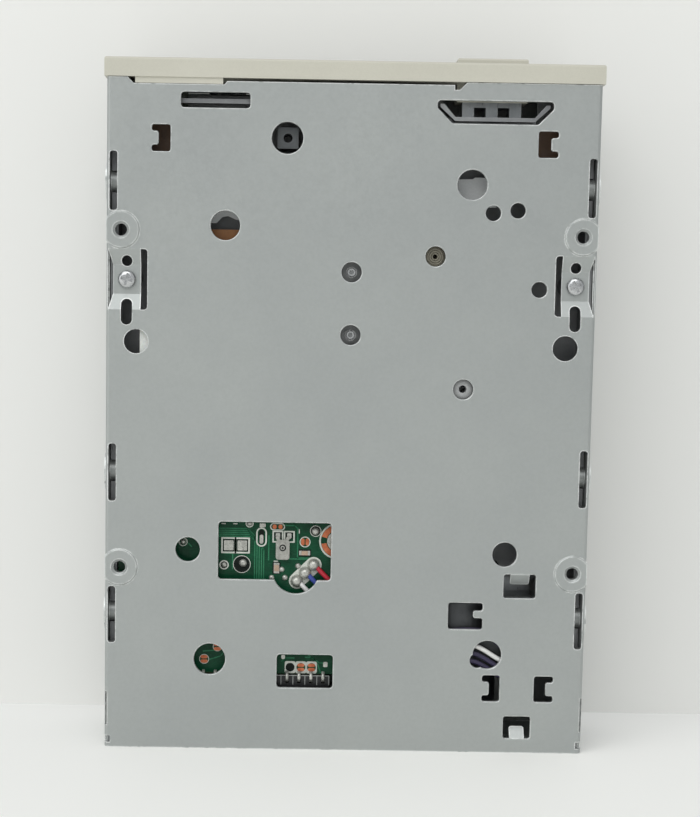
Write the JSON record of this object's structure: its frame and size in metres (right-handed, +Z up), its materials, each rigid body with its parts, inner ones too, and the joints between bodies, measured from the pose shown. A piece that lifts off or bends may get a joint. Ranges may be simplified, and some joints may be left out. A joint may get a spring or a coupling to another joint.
{
  "type": "floppy disk drive",
  "caption": "Internal 3.5-inch floppy disk drive: steel covers on a chassis with beige bezel, eject slide, lifting disk holder, spindle motor and stepped heads.",
  "frame": {"origin": "middle of the rear edge that the drive stands on, at the centre of its thickness", "axes": "+Z up from the rear edge to the bezel, -Y out of the underside, +X to the right when facing the underside"},
  "size_m": [0.102, 0.0254, 0.1448],
  "materials": {
    "zinc_sheet": "galvanised sheet, satin",
    "cast_chassis": "cast, matt",
    "beige_plastic": "fine spark-eroded grain",
    "lamp_green": "clear tinted",
    "lamp_body": "clear tinted",
    "slide_steel": "plated, satin",
    "spring_steel": "bright wire",
    "bright_steel": "ground",
    "white_nylon": "moulded",
    "brown_board": "bare laminate",
    "green_board": "solder resist",
    "black_plastic": "moulded",
    "dark_plastic": "moulded",
    "brass": "turned",
    "pin_metal": "tinned",
    "magnet": "pressed ferrite",
    "core_steel": "stamped laminations",
    "copper_wire": "enamelled winding",
    "ceramic": "polished",
    "zinc_screw": "bright zinc",
    "red_wire": "vinyl",
    "blue_wire": "vinyl",
    "white_wire": "vinyl",
    "violet_wire": "vinyl"
  },
  "bodies": {
    "drive": {"bottom_cover": "zinc_sheet", "top_cover": "zinc_sheet", "stepper_bracket": "zinc_sheet", "chassis_frame": "cast_chassis", "bezel": "beige_plastic", "led_window": "lamp_green", "led_lamp": "lamp_body", "flap_spring": "spring_steel", "eject_springs": "spring_steel", "flap_pin": "bright_steel", "guide_rods": "bright_steel", "stepper_motor": "bright_steel", "slide_pads": "white_nylon", "power_header": "white_nylon", "motor_board": "brown_board", "sensor_board_left": "brown_board", "sensor_board_right": "brown_board", "main_board": "green_board", "data_header": "black_plastic", "controller_chip": "black_plastic", "screw_bearing": "black_plastic", "switch_bodies": "dark_plastic", "motor_rivet": "brass", "spindle_bearing": "brass", "data_pins": "pin_metal", "power_pins": "pin_metal", "trimmer": "pin_metal", "stator_core": "core_steel", "stator_coils": "copper_wire", "cover_screws": "zinc_screw", "motor_screws": "zinc_screw", "board_screws": "zinc_screw", "bracket_screws": "zinc_screw", "lead_red": "red_wire", "lead_blue": "blue_wire", "lead_white": "white_wire", "stepper_lead_white": "white_wire", "stepper_leads": "violet_wire"},
    "slider": {"slider_plate": "slide_steel", "eject_button": "beige_plastic"},
    "holder": {"disk_holder": "slide_steel", "holder_pins": "bright_steel", "lever_rivet": "bright_steel", "lever_spring": "spring_steel"},
    "trigger": {"trigger_lever": "slide_steel"},
    "flap": {"door_flap": "beige_plastic"},
    "rotor": {"rotor_yoke": "slide_steel", "rotor_magnet": "magnet", "hub_chuck": "bright_steel", "drive_pin": "bright_steel", "spindle_shaft": "bright_steel"},
    "carriage": {"head_carriage": "black_plastic", "lower_head": "ceramic", "arm_hinge_pin": "bright_steel"},
    "head_arm": {"upper_arm": "slide_steel", "upper_head": "ceramic"},
    "screw": {"lead_screw": "bright_steel"},
    "protect_switch": {"protect_plunger": "dark_plastic"},
    "density_switch": {"density_plunger": "dark_plastic"},
    "disk_switch": {"disk_plunger": "dark_plastic"}
  },
  "joints": [
    {"name": "eject_slide", "type": "slide", "parent": "drive", "child": "slider", "axis": [0, 0, 1], "range_m": [0, 0.0065], "deforming": ["eject_springs"]},
    {"name": "holder_lift", "type": "slide", "parent": "drive", "child": "holder", "axis": [0, -1, 0], "range_m": [0, 0.00262]},
    {"name": "trigger_swing", "type": "hinge", "parent": "holder", "child": "trigger", "pos_m": [0.038, 0.0107, 0.056], "axis": [0, -1, 0], "range_deg": [0, 42], "stiffness_Nm_per_rad": 0.002, "springref_deg": -28.65, "deforming": ["lever_spring"]},
    {"name": "flap_hinge", "type": "hinge", "parent": "drive", "child": "flap", "pos_m": [0, 0.01, 0.1403], "axis": [1, 0, 0], "range_deg": [0, 85], "stiffness_Nm_per_rad": 0.0004, "springref_deg": -57.3},
    {"name": "spindle_spin", "type": "hinge", "parent": "drive", "child": "rotor", "pos_m": [0, 0, 0.09415], "axis": [0, 1, 0], "continuous": true},
    {"name": "head_step", "type": "slide", "parent": "drive", "child": "carriage", "axis": [0, 0, 1], "range_m": [0, 0.0148]},
    {"name": "arm_lower", "type": "hinge", "parent": "carriage", "child": "head_arm", "pos_m": [0, 0.0058, 0.03415], "axis": [1, 0, 0], "range_deg": [0, 12.05]},
    {"name": "screw_turn", "type": "hinge", "parent": "drive", "child": "screw", "pos_m": [0.024, -0.0011, 0.05], "axis": [0, 0, 1], "range_deg": [0, 1777]},
    {"name": "protect_press", "type": "slide", "parent": "drive", "child": "protect_switch", "axis": [0, -1, 0], "range_m": [0, 0.001], "stiffness_N_per_m": 60, "springref_m": -0.0005},
    {"name": "density_press", "type": "slide", "parent": "drive", "child": "density_switch", "axis": [0, -1, 0], "range_m": [0, 0.001], "stiffness_N_per_m": 60, "springref_m": -0.0005},
    {"name": "disk_press", "type": "slide", "parent": "drive", "child": "disk_switch", "axis": [0, -1, 0], "range_m": [0, 0.001], "stiffness_N_per_m": 60, "springref_m": -0.0005}
  ],
  "couplings": [
    {"joint": "holder_lift", "follows": "eject_slide", "ratio": 0.4},
    {"joint": "arm_lower", "follows": "eject_slide", "rad_per_m": 32.221},
    {"joint": "screw_turn", "follows": "head_step", "rad_per_m": 2094.4}
  ]
}
